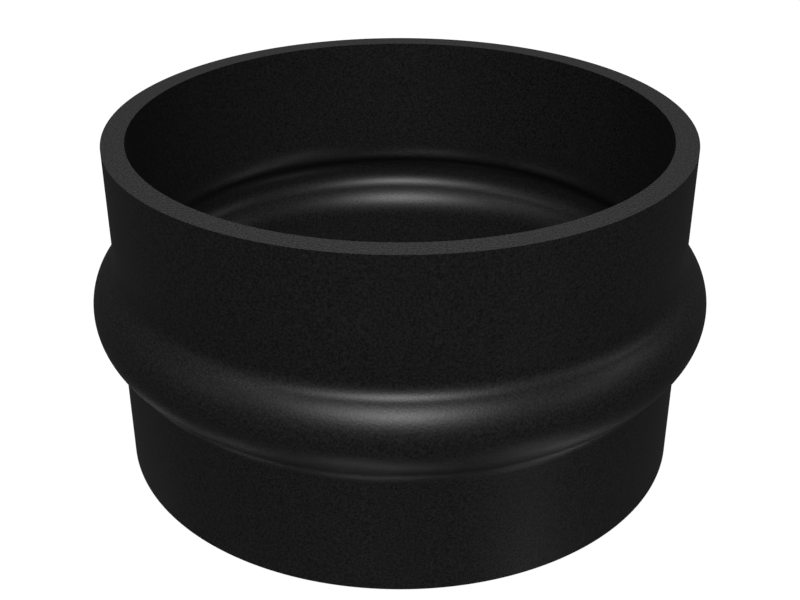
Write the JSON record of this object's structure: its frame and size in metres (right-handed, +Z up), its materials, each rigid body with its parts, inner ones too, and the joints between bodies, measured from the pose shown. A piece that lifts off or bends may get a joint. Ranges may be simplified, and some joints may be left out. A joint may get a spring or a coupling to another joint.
{
  "type": "corrugated hose",
  "caption": "Short black rubber duct hose with a plain round cuff at each end and a rounded corrugation between them, so that the joined ducts can flex and shift.",
  "frame": {"origin": "centre of the lower end face, where the bore's axis meets the surface that the hose stands on", "axes": "+Z up along the axis of the bore; the hose is round, so X and Y are any pair square to it"},
  "size_m": [0.1478, 0.1478, 0.08],
  "materials": {
    "black_rubber": "satin black moulded rubber with a fine grain"
  },
  "bodies": {
    "root": {"corrugated_hose": "black_rubber"}
  },
  "joints": []
}
